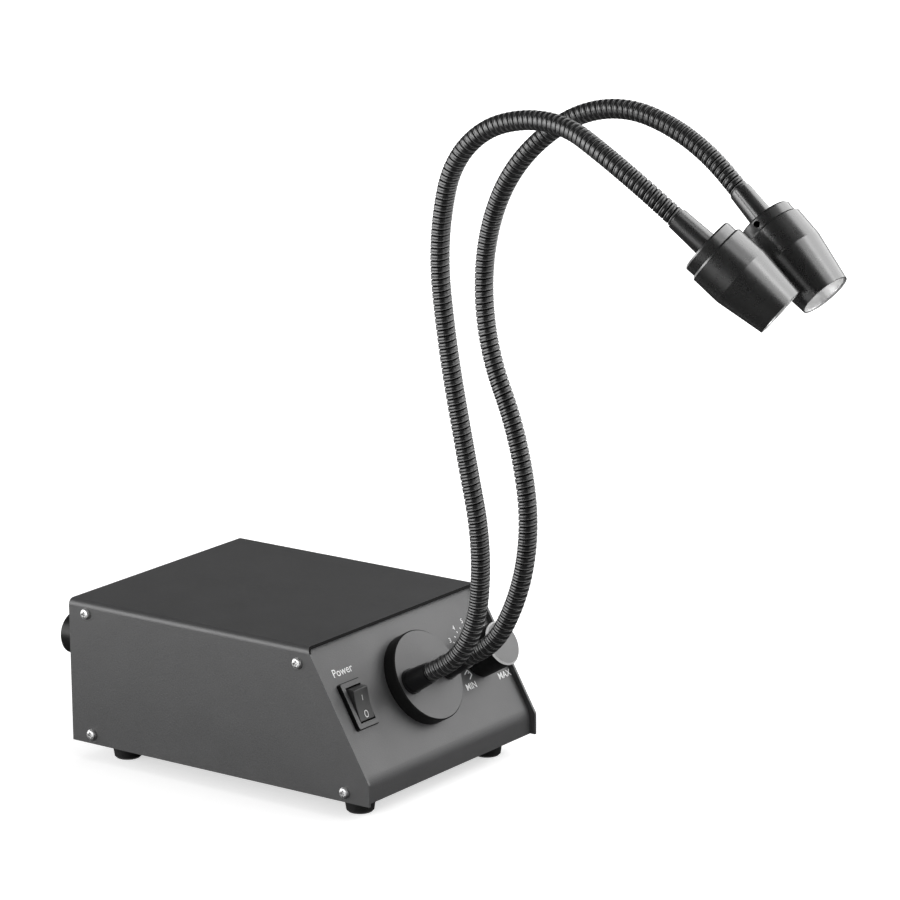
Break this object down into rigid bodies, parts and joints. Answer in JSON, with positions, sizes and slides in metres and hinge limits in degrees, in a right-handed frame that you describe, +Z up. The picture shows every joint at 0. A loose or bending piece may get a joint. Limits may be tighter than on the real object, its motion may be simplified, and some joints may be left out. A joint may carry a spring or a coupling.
{
  "type": "gooseneck illuminator",
  "caption": "Dual gooseneck illuminator: black sloped-front housing with rocker switch, dimmer knob and ribbed necks that end in small turned lamp heads",
  "frame": {"origin": "On the bench plane under the middle of the housing, between the front and rear edges of its side plates", "axes": "X to the right for someone who faces the front panel, Y to the back, Z up; left and right are as seen from the front"},
  "size_m": [0.1348, 0.3882, 0.3301],
  "materials": {
    "black_paint": "matte fine texture",
    "black_anodised": "satin black anodised",
    "hose_black": "black oxide, semi-gloss",
    "steel": "bright zinc plate",
    "rubber": "matte",
    "black_plastic": "semi-gloss",
    "knob_face": "satin with a bright cut edge",
    "mirror_coat": "mirror",
    "led_lens": "clear",
    "board_white": "matte",
    "board_green": "solder mask",
    "ferrite": "sintered",
    "copper": "enamelled winding",
    "sleeve_blue": "shrink sleeve",
    "aluminium": "plain",
    "brass": "plain",
    "glass": "clear tube"
  },
  "bodies": {
    "base": {"chassis": "black_paint", "cover": "black_paint", "cover_screws": "steel", "front_left_foot": "rubber", "front_right_foot": "rubber", "rear_left_foot": "rubber", "rear_right_foot": "rubber", "foot_screws": "steel", "neck_boss": "black_anodised", "left_base_ferrule": "black_anodised", "right_base_ferrule": "black_anodised", "neck_locknuts": "steel", "left_neck_1": "hose_black", "right_neck_1": "hose_black", "switch_frame": "black_plastic", "switch_terminals": "brass", "dimmer_pot": "steel", "pot_nut": "steel", "driver_board": "board_green", "transformer_core": "ferrite", "transformer_winding": "copper", "storage_capacitors": "sleeve_blue", "heat_sink": "aluminium", "terminal_block": "board_green", "board_spacers": "steel", "inner_screws": "steel", "inlet": "black_plastic", "inlet_pins": "brass", "fuse_holder": "black_plastic", "fuse_nut": "black_plastic", "fuse_cap": "black_plastic", "fuse": "glass", "earth_stud": "brass"},
    "rocker": {"rocker": "black_plastic"},
    "knob": {"knob": "black_plastic", "knob_cap": "knob_face", "knob_screw": "steel", "dimmer_shaft": "steel"},
    "left_neck_lower": {"left_neck_2": "hose_black"},
    "left_neck_middle": {"left_neck_3": "hose_black"},
    "left_neck_upper": {"left_neck_4": "hose_black"},
    "left_head": {"left_neck_5": "hose_black", "left_head_ferrule": "black_anodised", "left_end_cap": "black_anodised", "left_shell": "black_anodised", "left_reflector": "mirror_coat", "left_led_board": "board_white", "left_led": "led_lens", "left_grub_screw": "steel"},
    "right_neck_lower": {"right_neck_2": "hose_black"},
    "right_neck_middle": {"right_neck_3": "hose_black"},
    "right_neck_upper": {"right_neck_4": "hose_black"},
    "right_head": {"right_neck_5": "hose_black", "right_head_ferrule": "black_anodised", "right_end_cap": "black_anodised", "right_shell": "black_anodised", "right_reflector": "mirror_coat", "right_led_board": "board_white", "right_led": "led_lens", "right_grub_screw": "steel"}
  },
  "joints": [
    {"name": "left_neck_bend_1", "type": "hinge", "parent": "base", "child": "left_neck_lower", "pos_m": [-0.01367, -0.11342, 0.09796], "axis": [1, 0, 0], "range_deg": [-25, 25]},
    {"name": "left_neck_bend_2", "type": "hinge", "parent": "left_neck_lower", "child": "left_neck_middle", "pos_m": [-0.01756, -0.10405, 0.19612], "axis": [0.0024, 0.9872, -0.1592], "range_deg": [-35, 0]},
    {"name": "left_neck_bend_3", "type": "hinge", "parent": "left_neck_middle", "child": "left_neck_upper", "pos_m": [-0.02101, -0.10504, 0.29422], "axis": [1, 0, 0], "range_deg": [-30, 30]},
    {"name": "left_neck_bend_4", "type": "hinge", "parent": "left_neck_upper", "child": "left_head", "pos_m": [-0.03085, -0.18981, 0.31846], "axis": [-0.1374, -0.3641, 0.9212], "range_deg": [-30, 0]},
    {"name": "right_neck_bend_1", "type": "hinge", "parent": "base", "child": "right_neck_lower", "pos_m": [0.01381, -0.1161, 0.09682], "axis": [1, 0, 0], "range_deg": [-25, 25]},
    {"name": "right_neck_bend_2", "type": "hinge", "parent": "right_neck_lower", "child": "right_neck_middle", "pos_m": [0.01864, -0.1031, 0.19224], "axis": [-0.031, 0.9062, -0.4218], "range_deg": [0, 35]},
    {"name": "right_neck_bend_3", "type": "hinge", "parent": "right_neck_middle", "child": "right_neck_upper", "pos_m": [0.01858, -0.10808, 0.28654], "axis": [1, 0, 0], "range_deg": [-30, 30]},
    {"name": "right_neck_bend_4", "type": "hinge", "parent": "right_neck_upper", "child": "right_head", "pos_m": [0.01708, -0.19286, 0.3225], "axis": [-0.0529, -0.288, 0.9562], "range_deg": [0, 30]},
    {"name": "power_rocker", "type": "hinge", "parent": "base", "child": "rocker", "pos_m": [-0.0468, -0.06791, 0.04926], "axis": [1, 0, 0], "range_deg": [-28, 0]},
    {"name": "dimmer_turn", "type": "hinge", "parent": "base", "child": "knob", "pos_m": [0.0463, -0.06912, 0.04996], "axis": [0, -0.8651, 0.5016], "range_deg": [-62, 208]}
  ]
}
